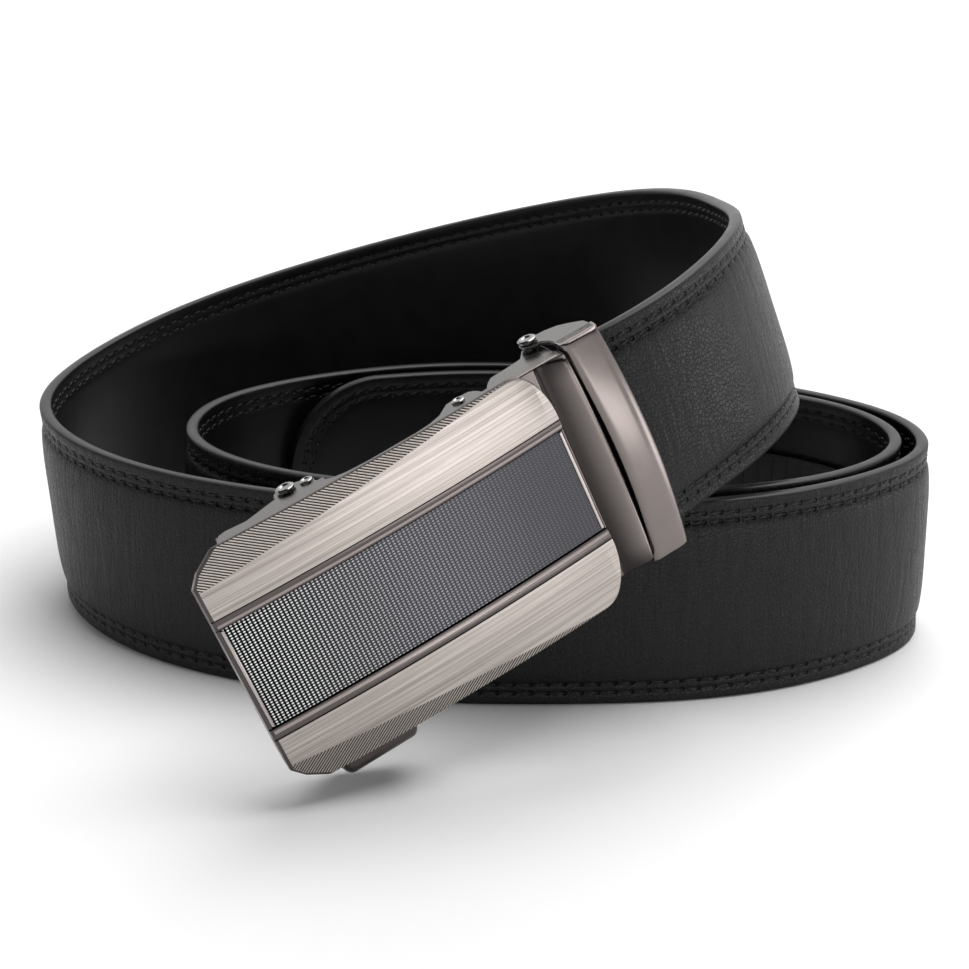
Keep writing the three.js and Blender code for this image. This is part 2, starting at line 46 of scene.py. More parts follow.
def buildMesh(name, points, faces, maps=None, sharp=40, unit=mm):
    # points in the given unit; maps holds one pair for each point under each map's name
    mesh = bpy.data.meshes.new(name)
    mesh.from_pydata((points * unit).tolist(), [], faces)
    corner = np.empty(len(mesh.loops), np.int32)
    mesh.loops.foreach_get("vertex_index", corner)
    for label, pairs in (maps or {}).items():
        layer = mesh.uv_layers.new(name=label)
        layer.data.foreach_set("uv", np.asarray(pairs, np.float32)[corner].ravel())
    mesh.polygons.foreach_set("use_smooth", np.ones(len(mesh.polygons), bool))
    mesh.update()
    mesh.set_sharp_from_angle(angle=math.radians(sharp))
    obj = bpy.data.objects.new(name, mesh)
    bpy.context.scene.collection.objects.link(obj)
    return obj


def sleeveFaces(rows, cols, firstPoint=0, capped=True):
    # quads between closed rings of equal length, with one face over each end
    r, c = np.meshgrid(np.arange(rows - 1), np.arange(cols), indexing="ij")
    a = firstPoint + r * cols + c
    b = firstPoint + r * cols + (c + 1) % cols
    quads = np.stack([a, b, b + cols, a + cols], -1).reshape(-1, 4).tolist()
    if capped:
        ring = np.arange(cols)
        quads.append((firstPoint + ring[::-1]).tolist())
        quads.append((firstPoint + (rows - 1) * cols + ring).tolist())
    return quads


def facingOut(points, faces):
    # the signed volume by a fan over each face; turned round if it is below zero
    volume = 0.0
    byLength = {}
    for face in faces:
        byLength.setdefault(len(face), []).append(face)
    for length, group in byLength.items():
        corners = points[np.array(group)]
        for k in range(1, length - 1):
            volume += np.einsum("ij,ij->i", corners[:, 0], np.cross(corners[:, k], corners[:, k + 1])).sum()
    return faces if volume > 0 else [face[::-1] for face in faces]


class Shells:
    # closed shells gathered into one mesh
    def __init__(self):
        self.points, self.faces, self.count = [], [], 0

    def add(self, points, faces):
        # one closed shell, its faces turned outwards
        faces = facingOut(points, faces)
        self.faces += [[i + self.count for i in face] for face in faces]
        self.points.append(points)
        self.count += len(points)
        return self

    def sleeve(self, rings):
        # closed rings one after the other, capped at both ends
        rings = np.asarray(rings, float)
        return self.add(rings.reshape(-1, 3), sleeveFaces(*rings.shape[:2]))

    def block(self, x, y, z):
        # a box between two x, two y and two z values
        corners = np.array([[x[i], y[j], z[k]] for i in (0, 1) for j in (0, 1) for k in (0, 1)], float)
        sides = [[0, 1, 3, 2], [4, 6, 7, 5], [0, 4, 5, 1], [2, 3, 7, 6], [0, 2, 6, 4], [1, 5, 7, 3]]
        return self.add(corners, sides)

    def slabAcross(self, outline, y0, y1):
        # an outline in x and z between two y values
        flat = np.asarray(outline, float)
        rings = np.stack([np.c_[flat[:, 0], np.full(len(flat), y), flat[:, 1]] for y in (y0, y1)])
        return self.sleeve(rings)

    def turned(self, x, z, profile, sides=32):
        # a profile of (y, radius) pairs turned round a line along y at x, z
        profile = np.asarray(profile, float)
        t = np.linspace(0, 2 * np.pi, sides, endpoint=False)
        ring = np.stack([x + profile[:, 1:] * np.cos(t), np.repeat(profile[:, :1], sides, 1),
                         z + profile[:, 1:] * np.sin(t)], -1)
        return self.sleeve(ring)


def finishPiece(obj, body, material, nodes=(), bevel=None, segments=2):
    # rounds the edges by a bevel in mm and gives the piece its material, body and replaced nodes
    if bevel:
        cut = obj.modifiers.new("edges", "BEVEL")
        cut.width, cut.segments = bevel * mm, segments
        cut.limit_method, cut.angle_limit = "ANGLE", math.radians(bevelAngle)
        cut.use_clamp_overlap = True
    obj.data.materials.append(material)
    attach(obj, body)
    if nodes:
        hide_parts(*nodes)
    return obj


# Shader maths

class Knot:
    # one output of a node; arithmetic on knots adds Math nodes
    def __init__(self, board, socket):
        self.board, self.socket = board, socket

    def maths(self, operation, *others):
        # a Math node on this value and the others
        return self.board.add("ShaderNodeMath", dict(enumerate((self, *others))), operation=operation)

    def __add__(self, other):
        return self.maths("ADD", other)

    def __radd__(self, other):
        return self.board.number("ADD", other, self)

    def __sub__(self, other):
        return self.maths("SUBTRACT", other)

    def __rsub__(self, other):
        return self.board.number("SUBTRACT", other, self)

    def __mul__(self, other):
        return self.maths("MULTIPLY", other)

    def __rmul__(self, other):
        return self.board.number("MULTIPLY", other, self)

    def __truediv__(self, other):
        return self.maths("DIVIDE", other)

    def __abs__(self):
        return self.maths("ABSOLUTE")

    def __lt__(self, other):
        return self.maths("LESS_THAN", other)

    def __gt__(self, other):
        return self.maths("GREATER_THAN", other)

    def soft(self, low, high):
        # 0 below low, 1 above high, smooth between
        return self.board.add("ShaderNodeMapRange", {0: self, 1: low, 2: high, 3: 0.0, 4: 1.0},
                              interpolation_type="SMOOTHSTEP")

    def span(self, low, high, toLow, toHigh):
        # low to high carried over to the second pair, straight between
        return self.board.add("ShaderNodeMapRange", {0: self, 1: low, 2: high, 3: toLow, 4: toHigh})


class Board:
    # a material's node tree
    def __init__(self, name):
        self.material = bpy.data.materials.new(name)
        self.material.use_nodes = True
        self.tree = self.material.node_tree
        self.shader = self.tree.nodes["Principled BSDF"]

    def add(self, kind, sockets=None, out=0, **settings):
        # any node: its settings first, then the values or links of its sockets
        node = self.tree.nodes.new(kind)
        for key, value in settings.items():
            setattr(node, key, value)
        for key, value in (sockets or {}).items():
            if isinstance(value, Knot):
                self.tree.links.new(value.socket, node.inputs[key])
            else:
                node.inputs[key].default_value = value
        return Knot(self, node.outputs[out])

    def number(self, operation, first, second):
        # a Math node whose first value is a plain number
        return self.add("ShaderNodeMath", {0: first, 1: second}, operation=operation)

    def place(self, label=None):
        # the piece's own map, or Object coordinates, as a vector
        if label:
            return self.add("ShaderNodeUVMap", uv_map=label)
        return self.add("ShaderNodeTexCoord", out="Object")

    def parts(self, vector):
        # the three numbers of a vector
        split = self.add("ShaderNodeSeparateXYZ", {0: vector}).socket.node
        return [Knot(self, out) for out in split.outputs]

    def vector(self, x, y, z=0.0):
        return self.add("ShaderNodeCombineXYZ", {0: x, 1: y, 2: z})

    def noise(self, where, scale, detail=3.0, rough=0.5, distort=0.0):
        return self.add("ShaderNodeTexNoise", {"Vector": where, "Scale": scale, "Detail": detail,
                                               "Roughness": rough, "Distortion": distort})

    def mix(self, share, first, second):
        # colours; share 0 gives the first
        return self.add("ShaderNodeMix", {0: share, 6: first, 7: second}, out=2, data_type="RGBA")

    def bump(self, height, depth, strength=1.0, under=None):
        # depth in mm for a height of 1
        sockets = {"Height": height, "Distance": depth * mm, "Strength": strength}
        if under is not None:
            sockets["Normal"] = under
        return self.add("ShaderNodeBump", sockets)

    def surface(self, **values):
        # sockets of the shader by their plain names, with underscores for spaces
        for key, value in values.items():
            target = self.shader.inputs[key.replace("_", " ")]
            if isinstance(value, Knot):
                self.tree.links.new(value.socket, target)
            else:
                target.default_value = value
        return self.material


def shade(level, tint=(1, 1, 1)):
    # a grey of the given level times a tint
    return (level * tint[0], level * tint[1], level * tint[2], 1)


# The strap's route

strapSet = dict(
    width=35, crown=1.74, liningCrown=1.2, rim=1.05, rimRound=0.4, clamped=16,
    bellyStart=3.6, bellyRun=9.5, bellyBend=2.8,  # the padding, by the distance from the outline
    coilWidth=152, coilDepth=99, layerPitch=4,
    coilCentre=(0.478, 19.295),  # in the belt's frame
    step=1.0,  # along the strap, between sections
    stitchRows=(2.2, 3.75), stitchPitch=2.75, grooveDepth=(0.24, 0.34), liningGroove=0.12, grooveHalf=0.5,
    stitchHalf=0.36,  # half a stitch's length as a share of the pitch
    stitchThick=0.22, stitchSlant=0.13,
    mapRise=20,  # keeps the map above 0
    liningMap=0.1, rimMap=0.2,  # metres by which lining and rim lie apart from the grain side in the maps
)

# x and y as shares of the half coil, layers inward, lift as a share of the width, lean in degrees
routeRows = np.array([
    [0.1214, -1.2705, 0, 0.7284, 3.7], [0.2987, -1.1515, 0, 0.9086, 3.7], [0.4974, -0.899, 0, 1.0829, 10.5],
    [0.6197, -0.4889, 0, 1.1543, 18], [0.625, -0.0081, 0, 1.0971, 19.3], [0.5487, 0.3879, 0, 1.0229, 14.2],
    [0.3776, 0.7556, 0, 0.8857, 7.2], [0.0487, 0.9919, 0, 0.6714, 0.7], [-0.3487, 0.9879, 0, 0.4457, -4.1],
    [-0.7053, 0.7636, 0, 0.2514, -7.4], [-0.925, 0.4, 0, 0.1229, -7], [-1, -0.0263, 0, 0.0514, -5],
    [-0.8553, -0.4747, 0, 0.0114, -1.8], [-0.5539, -0.8, 0, 0, 0], [-0.1592, -0.9778, 0, 0, 0],
    [0.2289, -1.002, 0, 0, 0], [0.5724, -0.9273, 0, 0, 0], [0.8513, -0.7071, 0, 0, 0],
    [0.9974, -0.4101, 0, 0, 0], [0.9803, -0.1354, 0, 0, 0], [0.8671, 0.0929, 0, 0, 0],
    [0.6092, 0.3455, 0, 0, 0], [0.2539, 0.5071, 0, 0, 0], [-0.0868, 0.5394, 0, 0, 0],
    [-0.4066, 0.3798, 0, 0, 0], [-0.6276, 0.0667, 0, 0, 0], [-0.6539, -0.2848, 0, 0, 0],
    [-0.517, -0.6123, 0.25, 0, 0], [-0.1641, -0.8746, 0.7, 0, 0], [0.2556, -0.9535, 1, 0, 0],
    [0.6243, -0.8809, 1, 0, 0], [0.8827, -0.6681, 1, 0, 0], [0.9945, -0.3748, 1, 0, 0],
    [0.9578, -0.0898, 1, 0, 0], [0.7982, 0.16, 1, 0, 0], [0.4609, 0.3796, 1, 0, 0],
    [-0.0482, 0.5184, 1, 0, 0], [-0.5066, 0.287, 0.8, 0, 0],
])


def splineThrough(at, values, slope):
    # cubic pieces with equal slope and bend where they meet, a given slope first and no bend last
    n = len(at)
    h = np.diff(at)
    system, right = np.zeros((n, n)), np.zeros(n)
    system[0, :2] = 2 * h[0], h[0]
    right[0] = 6 * ((values[1] - values[0]) / h[0] - slope)
    for i in range(1, n - 1):
        system[i, i - 1:i + 2] = h[i - 1], 2 * (h[i - 1] + h[i]), h[i]
        right[i] = 6 * ((values[i + 1] - values[i]) / h[i] - (values[i] - values[i - 1]) / h[i - 1])
    system[-1, -1] = 1
    bend = np.linalg.solve(system, right)

    def valueAt(u):
        i = np.clip(np.searchsorted(at, u) - 1, 0, n - 2)
        a = (at[i + 1] - u) / h[i]
        b = 1 - a
        return (a * values[i] + b * values[i + 1]
                + ((a ** 3 - a) * bend[i] + (b ** 3 - b) * bend[i + 1]) * h[i] ** 2 / 6)
    return valueAt


class Route:
    # the strap's middle line with its directions, by the length from the buckle
    def __init__(self, c, rows):
        # the table in mm, with cubic pieces through its rows by the length of the chords between them
        q = rows[:, :2] * [c["coilWidth"] / 2, c["coilDepth"] / 2]
        q = q - q / np.linalg.norm(q, axis=1)[:, None] * rows[:, 2:3] * c["layerPitch"]
        table = np.c_[q, rows[:, 3] * c["width"], rows[:, 4]]
        gap = np.linalg.norm(np.diff(q, axis=0), axis=1)
        self.at = np.r_[0, np.cumsum(gap[1:])]
        self.columns = [splineThrough(self.at, table[1:, k], (table[1, k] - table[0, k]) / gap[0])
                        for k in range(4)]
        # from here on a column is 0
        self.settled = [next((self.at[i] for i in range(len(self.at)) if not table[1 + i:, k].any()), 1e9)
                        for k in range(4)]
        self.c = c
        u = np.arange(0, self.at[-1] + 1e-9, 0.25)
        points = self.centre(u)
        self.run = np.r_[0, np.cumsum(np.linalg.norm(np.diff(points, axis=0), axis=1))]
        self.u, self.length = u, self.run[-1]

    def column(self, k, u):
        # x, y, lift or lean; the last two are 0 once the strap lies flat
        value = self.columns[k](u)
        return np.where(u >= self.settled[k], 0, value) if k > 1 else value

    def centre(self, u):
        # the middle of the strap's width, never below the surface
        lift = np.maximum(0, self.column(2, u)) + self.c["width"] / 2
        x0, y0 = self.c["coilCentre"]
        return np.stack([self.column(0, u) + x0, self.column(1, u) + y0, lift], -1)

    def frameAt(self, s):
        # middle, along, width and outward directions; before 0 the strap runs on straight
        s = np.asarray(s, float)
        u = np.interp(np.maximum(s, 0), self.run, self.u)
        along = self.centre(u + 0.02) - self.centre(u - 0.02)
        along /= np.linalg.norm(along, axis=-1, keepdims=True)
        side = np.stack([along[..., 1], -along[..., 0], 0 * s], -1)
        side /= np.linalg.norm(side, axis=-1, keepdims=True)
        up = np.cross(side, along)
        lean = np.radians(self.column(3, u))[..., None]
        width = np.cos(lean) * up - np.sin(lean) * side
        outward = np.cross(along, width)
        return self.centre(u) + np.minimum(s, 0)[..., None] * along, along, width, outward


route = Route(strapSet, routeRows)
# where the strap leaves the buckle, the buckle's own zero and directions
exitPoint, exitAlong, exitWidth, exitOutward = (v[0] for v in route.frameAt(np.zeros(1)))
print("strap from the buckle to its tip: %.1f mm" % route.length)


def strapDepth(d, lining=False):
    # distance of a face from the middle plane by the distance from the outline: the rim's level, two sewn
    # grooves, and behind them the padded belly, which rises as a quarter of a superellipse
    c = strapSet
    d = np.asarray(d, float)
    crown = c["liningCrown"] if lining else c["crown"]
    rise = np.clip((d - c["bellyStart"]) / c["bellyRun"], 0, 1)
    body = c["rim"] + (crown - c["rim"]) * (1 - (1 - rise) ** c["bellyBend"]) ** 0.75
    depths = (c["liningGroove"],) * 2 if lining else c["grooveDepth"]
    for row, depth in zip(c["stitchRows"], depths):
        body = body - depth * np.exp(-((d - row) / c["grooveHalf"]) ** 2)
    return body


def outlineDistance(s, a):
    # distance to the strap's outline and the length along it, for a point at s and a across
    r = strapSet["width"] / 2
    past = np.maximum(s - (route.length - r), 0)
    return r - np.hypot(past, a), s - past + r * np.arctan2(past, np.abs(a) + 1e-6)


def makeStrap():
    # one ring of points for each section: grain side, rim, lining and rim again, drawn in round the tip
    c = strapSet
    r = c["width"] / 2
    straight = np.arange(-c["clamped"], route.length - r, c["step"])
    turn = np.linspace(0, np.pi / 2, 30)[:-1]
    s = np.r_[straight, route.length - r + r * np.sin(turn)]
    half = np.r_[np.full(len(straight), r), r * np.cos(turn)]
    s, half = np.r_[s, route.length - 0.02], np.r_[half, 0.5]
    inset = np.array([c["rimRound"], 0.8, 1.3, 1.7, 1.95, 2.2, 2.45, 2.7, 2.97, 3.25, 3.5, 3.75, 4.0,
                      4.3, 4.8, 5.5, 6.5, 8, 10, 12.5, 15])  # closest at the two grooves
    across = np.r_[r - inset, 0, -(r - inset[::-1])] / r
    rimTurn = np.radians([62, 35, 12, -12, -35, -62])
    rounded = c["rimRound"] * half / r
    columns = [(share * half, 1, None) for share in across]  # grain side, from the top edge down
    columns += [(-(half - rounded) - rounded * np.cos(t), None, t) for t in rimTurn]
    columns += [(share * half, -1, None) for share in across[::-1]]
    columns += [((half - rounded) + rounded * np.cos(t), None, t) for t in -rimTurn]
    centre, _, width, outward = route.frameAt(s)
    rings, wide, rows = [], [], []
    rimHalf = strapDepth(np.array([c["rimRound"]]))[0]
    shift = {1: 0, -1: c["liningMap"], None: c["rimMap"]}
    for a, side, t in columns:
        d, p = outlineDistance(s, a)
        height = side * strapDepth(np.maximum(d, 0.2), side < 0) if side else rimHalf * np.sin(t) + 0 * s
        rings.append(centre + width * a[:, None] + outward * height[:, None])
        wide.append(np.c_[s * mm, (a + c["mapRise"]) * mm + shift[side]])
        rows.append(np.c_[p * mm, np.maximum(d, 0) * mm + shift[side]])
    rings = np.stack(rings, 1)
    wide, rows = np.stack(wide, 1), np.stack(rows, 1)
    n, k = rings.shape[:2]
    points = rings.reshape(-1, 3)
    faces = facingOut(points, sleeveFaces(n, k))
    return buildMesh("strapLeather", points, faces,
                     {"strapMap": wide.reshape(-1, 2), "rowMap": rows.reshape(-1, 2)}, sharp=50)


def makeStitches():
    # a short thread in every step of each row, bent a little into its two holes
    c = strapSet
    r, pitch = c["width"] / 2, c["stitchPitch"]
    around, lengthwise = 6, 5
    t = np.linspace(0, 2 * np.pi, around, endpoint=False)
    run = np.linspace(-1, 1, lengthwise)
    girth = np.array([0.45, 0.95, 1, 0.95, 0.45])
    shells, faces = [], []
    unit = sleeveFaces(lengthwise, around)
    count = 0
    for row in c["stitchRows"]:
        for lining in (False, True):
            rr = r - row
            straight = route.length - r
            total = straight + rr * np.pi / 2
            p = np.arange(-4.0, total, pitch)
            bent = np.maximum(p - straight, 0) / rr
            s = np.minimum(p, straight) + rr * np.sin(bent)
            for edge in (1, -1):
                a = edge * rr * np.cos(bent)
                centre, along, width, outward = route.frameAt(s)
                face = -1 if lining else 1
                depth = strapDepth(np.full_like(s, row), lining) * face
                heading = along * np.cos(bent)[:, None] - edge * width * np.sin(bent)[:, None]
                sideways = np.cross(outward, heading)
                slant = c["stitchSlant"] * face * edge
                heading, sideways = heading + slant * sideways, sideways - slant * heading
                base = centre + width * a[:, None] + outward * depth[:, None]
                half, thick = c["stitchHalf"] * pitch, c["stitchThick"]
                sag = 0.05 - 0.3 * run ** 2
                x = run[:, None] + 0 * t
                y = girth[:, None] * np.cos(t)
                z = girth[:, None] * np.sin(t) * 0.85
                one = (base[:, None, None] + heading[:, None, None] * (x * half)[None, ..., None]
                       + sideways[:, None, None] * (y * thick)[None, ..., None]
                       + outward[:, None, None] * ((z * thick + sag[:, None]) * face)[None, ..., None])
                turned = unit if face > 0 else [quad[::-1] for quad in unit]
                for block in one.reshape(len(s), -1, 3):
                    shells.append(block)
                    faces += [[i + count for i in quad] for quad in turned]
                    count += len(block)
    points = np.concatenate(shells)
    first = points[:around * lengthwise]
    if facingOut(first, unit) is not unit:
        faces = [quad[::-1] for quad in faces]
    return buildMesh("strapStitches", points, faces, sharp=80)


# The buckle's own frame: x along the strap, y across, z out of the face

def buckleMesh(name, shells, sharp=40):
    # shells carried into the belt's frame, with x and y as their map
    local = np.concatenate(shells.points)
    turned = exitPoint + local[:, :1] * exitAlong + local[:, 1:2] * exitWidth + local[:, 2:] * exitOutward
    return buildMesh(name, turned, shells.faces, {"faceMap": local[:, :2] * mm}, sharp)


plateSet = dict(
    inset=10.9, length=59.4, half=20.45, top=7.0, back=4.6, bow=1.5, edge=0.65,
    wedgeStart=15.5, wedgeEnd=0.925, wedgeSlope=0.2,
    inlayHalf=8.95, railWidth=1.7, railDrop=0.3, grooveWidth=0.13, inlayFloor=5.4, inlayTop=6.42,
    leftMargin=0.6, rightMargin=0.3, edgeRound=0.2, hatchAngle=36.5, hatchPitch=0.4,
    cornerFrom=0.905, cornerHalf=11.2, cornerBend=2.3,  # the rounded corners at the right end
)
plateOutline = np.array([  # run, half width: the part's own table
    [0, 16.3], [0.03, 18.44], [0.083, 20.45], [0.911, 20.45], [0.959, 18.4], [0.986, 15.5], [1, 11.2]])


def bow(x):
    # rise of the plate, and of what lies behind it, over its two ends
    c = plateSet
    share = (np.asarray(x, float) + c["inset"] + c["length"] / 2) / (c["length"] / 2)
    return c["bow"] * np.maximum(0, 1 - share ** 2)


def plateHalf(run):
    # half width by the run from the left end: straight chamfers on the left, a rounded corner on the right
    c = plateSet
    half = np.interp(run, plateOutline[:, 0], plateOutline[:, 1])
    start, least = c["cornerFrom"], c["cornerHalf"]
    corner = np.clip((run - start) / (1 - start), 0, 1)
    rounded = least + (c["half"] - least) * np.sqrt(np.maximum(0, 1 - corner ** c["cornerBend"]))
    return np.where(run > start, rounded, half)


def makeFacePlate():
    # sections across, each with wedges, brushed bands, grooves, moulded rails and the inlay's recess
    c = plateSet
    left, right = -(c["inset"] + c["length"]), -c["inset"]
    e = c["edgeRound"]
    recessLeft, recessRight = left + c["leftMargin"], right - c["rightMargin"]
    x = np.unique(np.r_[
        left, left + e * 0.3, left + e, left + np.linspace(0.3, 5.6, 12), np.linspace(-64, -17, 26),
        np.linspace(-16.6, right - e, 26), right - e * 0.3, right])
    x = np.sort(np.r_[x[(np.abs(x - recessLeft) > 0.05) & (np.abs(x - recessRight) > 0.05)],
                      recessLeft - 0.01, recessLeft + 0.01, recessRight - 0.01, recessRight + 0.01])
    rings = []
    for at in x:
        run = (at - left) / c["length"]
        hw = float(plateHalf(run))
        end = min(at - left, right - at)
        drop = e - math.sqrt(max(0, e * e - max(0, e - end) ** 2)) if end < e else 0
        wedge = c["wedgeStart"] + (c["half"] - c["wedgeStart"]) * run / c["wedgeEnd"]
        wedge = min(wedge, hw - 0.3)
        top = c["top"]
        edge = top - (hw - wedge) * c["wedgeSlope"]
        rail = c["inlayHalf"] + c["railWidth"]
        inside = recessLeft < at < recessRight
        line = c["grooveWidth"]
        low = top - c["railDrop"]
        side = [
            (hw - 0.9, c["back"]), (hw - 0.1, edge - c["edge"] - 0.1), (hw, edge - c["edge"]),
            (hw, edge - e), (hw - 0.3 * e, edge - 0.3 * e), (hw - e, edge),
            (wedge + 0.06, top - 0.03), (wedge - 0.06, top),
            (rail + line, top), (rail + line * 0.8, top - 0.2), (rail, top - 0.2),
            (rail - 0.03, top - 0.05), (rail - 0.3, top), (rail - 0.75, top - 0.04), (rail - 1.2, top - 0.2),
            (c["inlayHalf"] + 0.12, low), (c["inlayHalf"], low - 0.15),
            (c["inlayHalf"], c["inlayFloor"] if inside else low - 0.16),
        ]
        ring = np.array(side + [(-y, z) for y, z in side[::-1]])
        ring[:, 1] = np.where(ring[:, 1] > c["back"] + 0.3, ring[:, 1] - drop, ring[:, 1])
        rings.append(np.c_[np.full(len(ring), at), ring[:, 0], ring[:, 1] + bow(at)])
    return Shells().sleeve(rings)


def boardAlong(shells, x, half, low, high):
    # a bowed board through the given x values
    half = np.broadcast_to(half, np.shape(x))
    rings = [[(at, h, low), (at, h, high), (at, -h, high), (at, -h, low)] for at, h in zip(x, half)]
    rings = np.array(rings, float)
    rings[:, :, 2] += bow(rings[:, :, 0])
    return shells.sleeve(rings)


def makeInlay():
    # a board in the recess, just clear of its sides
    c = plateSet
    left = -(c["inset"] + c["length"]) + c["leftMargin"] + 0.3
    right = -c["inset"] - c["rightMargin"] - 0.3
    x = np.linspace(left, right, 40)
    return boardAlong(Shells(), x, c["inlayHalf"] - 0.12, c["inlayFloor"] + 0.3, c["inlayTop"])


def makeInlayTrim():
    # a narrow bright bar at each end of the inlay
    c = plateSet
    left = -(c["inset"] + c["length"]) + c["leftMargin"] + 0.05
    right = -c["inset"] - c["rightMargin"] - 0.05
    trim = Shells()
    for x0, x1 in ((left, left + 0.5), (right - 0.5, right)):
        boardAlong(trim, [x0, x1], c["inlayHalf"] - 0.25, c["inlayTop"] - 0.3, c["inlayTop"] + 0.22)
    return trim


casingSet = dict(
    back=2.3, front=4.3, inset=1.5, wallInner=17.75, wallOuter=18.65, foot=2.4, wallFloor=-0.35,
    neckEnd=5.6, neckHalf=18.75, neckBow=0.9, neckCove=4.3, armOuter=19.65,
    leverPin=(-50.6, -2.9), jawPin=(-7.6, -3.45), ear=2.1, rivets=((-47.4, -2.1), (-22.2, 0.6)),
)


def arcPoints(x, z, r, start, stop, steps):
    # points on a circle round x, z between two angles in degrees
    t = np.radians(np.linspace(start, stop, steps + 1))
    return np.c_[x + r * np.cos(t), z + r * np.sin(t)].tolist()


def makeCasing():
    # a bowed board behind the plate, set in from its outline, and on to the neck's end
    c, p = casingSet, plateSet
    left = -(p["inset"] + p["length"])
    right = -c["neckEnd"]
    x = np.r_[left + 0.1, left + plateOutline[1:3, 0] * p["length"], np.linspace(-64, -17, 24)]
    half = plateHalf((x - left) / p["length"]) - c["inset"]
    half[0] = plateOutline[0, 1] - c["inset"]
    x = np.r_[x, -p["inset"] - 1.2, -p["inset"] + 0.6, right - 0.9, right - 0.3, right]
    half = np.r_[half, 18.85, c["neckHalf"], c["neckHalf"], c["neckHalf"] - 0.3, c["neckHalf"] - 1]
    return boardAlong(Shells(), x, half, c["back"], c["front"])


def makeNeck():
    # a wide cove from the plate up to a low rounded edge that follows the bar, its ends rounded off
    c, p = casingSet, plateSet
    left, right = -p["inset"] + 0.12, -c["neckEnd"]
    profile = np.array([  # share of the way from the plate to the bar, z
        (0, 3.6), (0, 4.55), (0.05, 4.42), (0.12, 4.36), (0.2, 4.38), (0.28, 4.47), (0.36, 4.63),
        (0.44, 4.84), (0.52, 5.08), (0.6, 5.32), (0.68, 5.54), (0.76, 5.71), (0.83, 5.8), (0.89, 5.8),
        (0.94, 5.66), (0.98, 5.36), (1, 4.9), (1, 2.3), (0.8, 2.2), (0.5, 2.6)])
    ends, cove = c["neckHalf"] - 0.1, c["neckCove"]
    rings = []
    for t in np.r_[-1, -0.995, -0.985, -0.97, np.linspace(-0.95, 0.95, 39), 0.97, 0.985, 0.995, 1]:
        y = t * ends
        span = right + c["neckBow"] * (1 - (y / c["armOuter"]) ** 2) - left
        fall = max(0.0, (abs(t) - 0.95) / 0.05)
        sink = 1 - math.sqrt(max(0, 1 - fall ** 2))
        z = profile[:, 1]
        z = np.where(z > cove, z - sink * (z - cove), z)
        rings.append(np.c_[left + profile[:, 0] * span, np.full(len(z), y), z])
    return Shells().sleeve(rings)


def makeWalls():
    # the casting's side walls with the two ears, a low foot between them and a small boss
    c, p = casingSet, plateSet
    left, right = -(p["inset"] + p["length"]) + 6.5, c["jawPin"][0] + 1.5
    foot = c["foot"]
    lx, lz = c["leverPin"]
    jx, jz = c["jawPin"]
    outline = [(left, c["front"] + 0.5), (left, 2.6), (left + 0.3, 0.6), (left + 1.0, -0.9),
               (left + 2.4, -1.3), (left + 4.2, -0.9), (left + 5.6, -0.6)]
    outline += arcPoints(lx, lz, c["ear"], 165, 290, 8) + arcPoints(lx + 3.0, lz + 0.9, 1.35, 290, 390, 7)
    outline += [(lx + 4.9, 0.3), (lx + 6.3, foot - 0.9), (lx + 8.5, foot - 0.1), (lx + 12, foot + 0.3),
                (lx + 20, foot + 0.3), (jx - 20.5, foot), (jx - 18.4, foot - 0.9), (jx - 17.2, 0.2),
                (jx - 16.2, -0.9), (jx - 14.2, -1.2), (jx - 12.2, -0.9), (jx - 11.4, 0.2),
                (jx - 10.9, foot - 0.7), (jx - 10.1, foot - 0.8), (jx - 9.4, 0.2), (jx - 8.2, -1.2),
                (jx - 4.6, -1.5), (jx - 2.6, jz + 1.6)]
    outline += arcPoints(jx, jz, 1.5, 200, 340, 8)
    outline += [(right, c["front"] - 0.3)]
    # the lower wall is cut back where the lever's arm swings up to it
    lower = [(x, max(z, c["wallFloor"])) if x < lx - 6 else (x, z) for x, z in outline]
    walls = Shells()
    walls.slabAcross(outline, c["wallInner"], c["wallOuter"])
    walls.slabAcross(lower, -c["wallOuter"], -c["wallInner"])
    return walls


clampSet = dict(
    left=-5.4, width=6.6, bow=0.9, bulge=0.6, endTop=4.6, arch=2.2, under=1.8, endRound=0.45,
    half=19.65, armInner=18.95,
)


def makeClampBar():
    # sections along the bar: it arches up and bulges towards its middle, and its ends are rounded over
    c = clampSet
    rings = []
    for at in np.r_[-1, -0.997, -0.99, np.linspace(-0.98, 0.98, 57), 0.99, 0.997, 1]:
        dome = 1 - at * at
        left = c["left"] + c["bow"] * dome
        right = c["left"] + c["width"] + c["bulge"] * dome
        top = c["endTop"] + c["arch"] * dome
        tuck = max(0.0, (abs(at) - 0.98) / 0.02)
        fall = c["endRound"] * (1 - math.sqrt(max(0, 1 - tuck ** 2)))
        ring = np.array([
            (left, c["under"]), (right, c["under"]), (right, top - 1.5), (right - 0.05, top - 1.05),
            (right - 0.22, top - 0.7), (right - 0.6, top - 0.33), (right - 1.2, top - 0.1),
            (right - 2.0, top), (left + 1.5, top), (left + 0.8, top - 0.07), (left + 0.35, top - 0.25),
            (left + 0.08, top - 0.55), (left, top - 0.95)])
        ring[2:, 1] -= fall
        rings.append(np.c_[ring[:, 0], np.full(len(ring), at * c["half"]), ring[:, 1]])
    return Shells().sleeve(rings)


